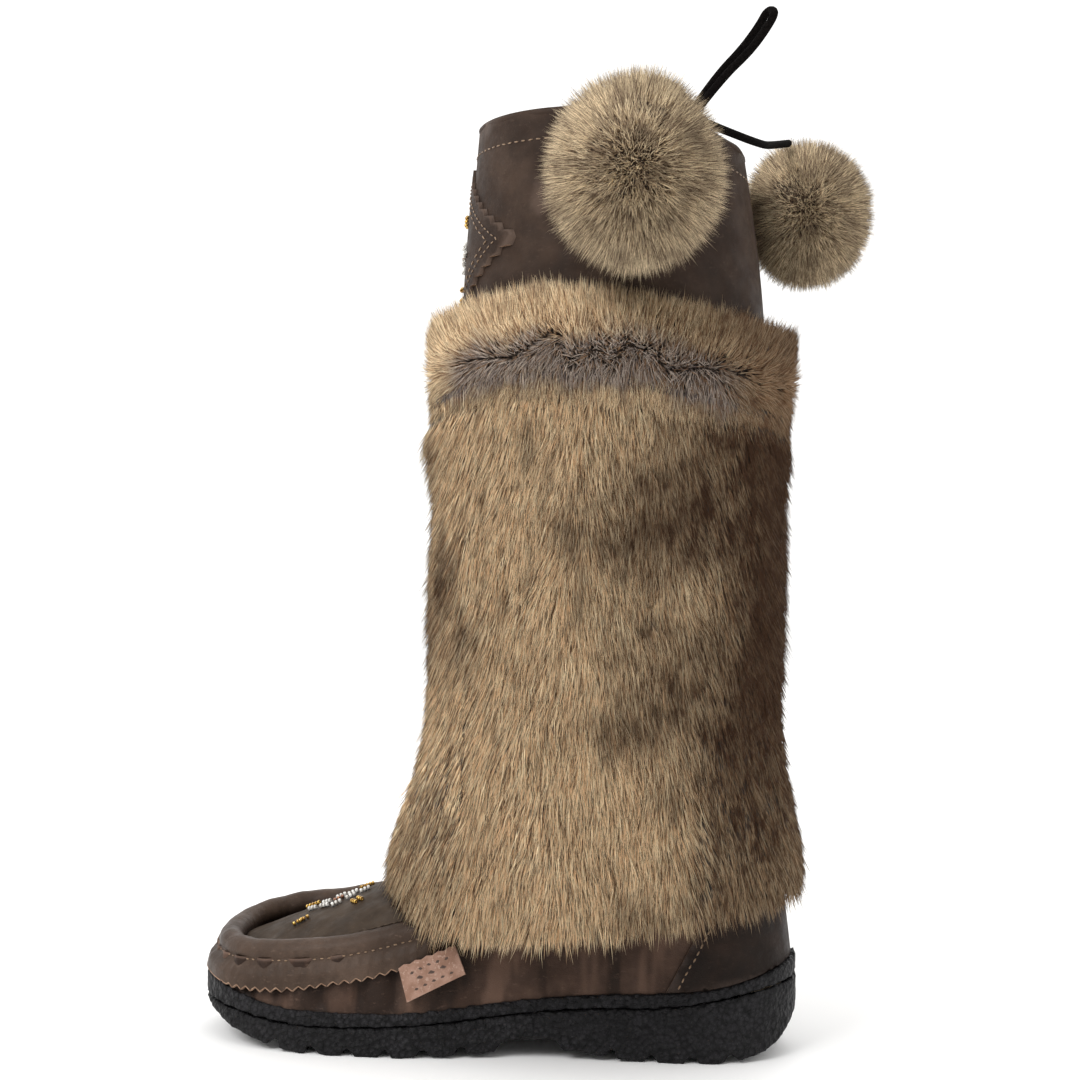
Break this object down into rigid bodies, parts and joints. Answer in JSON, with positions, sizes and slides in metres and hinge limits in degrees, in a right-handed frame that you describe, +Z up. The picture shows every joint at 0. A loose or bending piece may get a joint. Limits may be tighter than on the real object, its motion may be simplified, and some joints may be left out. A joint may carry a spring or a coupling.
{
  "type": "moccasin boot",
  "caption": "Fur-wrapped leather moccasin boot with a crepe-pattern rubber sole, beaded apron and diamond patch, and a drawcord with hanging fur pompoms.",
  "frame": {"origin": "centre of the boot's own bounding box in plan, on the ground plane under the tread; free lace ends and pompoms are not counted", "axes": "+Z up the shaft, -X towards the toe, -Y towards the outer (lateral) side of the left foot"},
  "size_m": [0.304, 0.2096, 0.4659],
  "materials": {
    "outsole_rubber": "matt crepe texture",
    "band_rubber": "matt crepe texture",
    "upper_leather": "oiled pull-up leather",
    "shaft_leather": "waxed nubuck",
    "roll_leather": "oiled pull-up leather",
    "tab_leather": "natural veg-tanned leather",
    "fur": "dense agouti fur",
    "pompom_fur": "dense agouti fur",
    "lace_suede": "suede lace",
    "fleece": "short pile fleece",
    "filler": "felt cord",
    "board": "fibre board",
    "shank_steel": "stamped strip",
    "thermo_board": "thermoformed stiffener",
    "beads": "glass seed beads",
    "thread": "waxed thread"
  },
  "bodies": {
    "boot": {"outsole": "outsole_rubber", "midsole": "band_rubber", "moccasin_bottom": "upper_leather", "plug": "upper_leather", "instep_panel": "upper_leather", "collar_roll": "roll_leather", "collar_filler": "filler", "pinked_skirt": "roll_leather", "heel_counter": "upper_leather", "heel_stiffener": "thermo_board", "toe_puff": "thermo_board", "foot_lining": "fleece", "insole_board": "board", "shank": "shank_steel", "footbed": "fleece", "shaft_leather": "shaft_leather", "top_hem": "shaft_leather", "lace_drawcord": "lace_suede", "shaft_lining": "fleece", "front_patch": "shaft_leather", "patch_beads": "beads", "plug_beads": "beads", "side_tab": "tab_leather", "fur_front": "fur", "fur_back": "fur", "fur_outer_side": "fur", "fur_inner_side": "fur", "fur_top_fold": "fur", "lace_knot": "lace_suede"},
    "loop": {"lace_loop": "lace_suede"},
    "near_tail": {"near_tail": "lace_suede"},
    "near_pompom": {"pompom_near": "pompom_fur"},
    "far_tail": {"far_tail": "lace_suede"},
    "far_pompom": {"pompom_far": "pompom_fur"}
  },
  "joints": [
    {"name": "loop_bend", "type": "hinge", "parent": "boot", "child": "loop", "pos_m": [0.081, -0.0515, 0.4145], "axis": [0, 1, 0], "range_deg": [-40, 35], "stiffness_Nm_per_rad": 0.01},
    {"name": "near_tail_swing", "type": "hinge", "parent": "boot", "child": "near_tail", "pos_m": [0.081, -0.0515, 0.4145], "axis": [0, 1, 0], "range_deg": [-22, 12]},
    {"name": "near_pompom_lift", "type": "hinge", "parent": "near_tail", "child": "near_pompom", "pos_m": [0.0656, -0.0848, 0.4226], "axis": [-1, 0, 0], "range_deg": [0, 70]},
    {"name": "far_tail_swing", "type": "hinge", "parent": "boot", "child": "far_tail", "pos_m": [0.081, -0.0515, 0.4145], "axis": [0, 0, -1], "range_deg": [0, 55]},
    {"name": "far_pompom_lift", "type": "hinge", "parent": "far_tail", "child": "far_pompom", "pos_m": [0.1254, 0.029, 0.421], "axis": [0.4229, -0.9062, 0], "range_deg": [0, 70]}
  ]
}
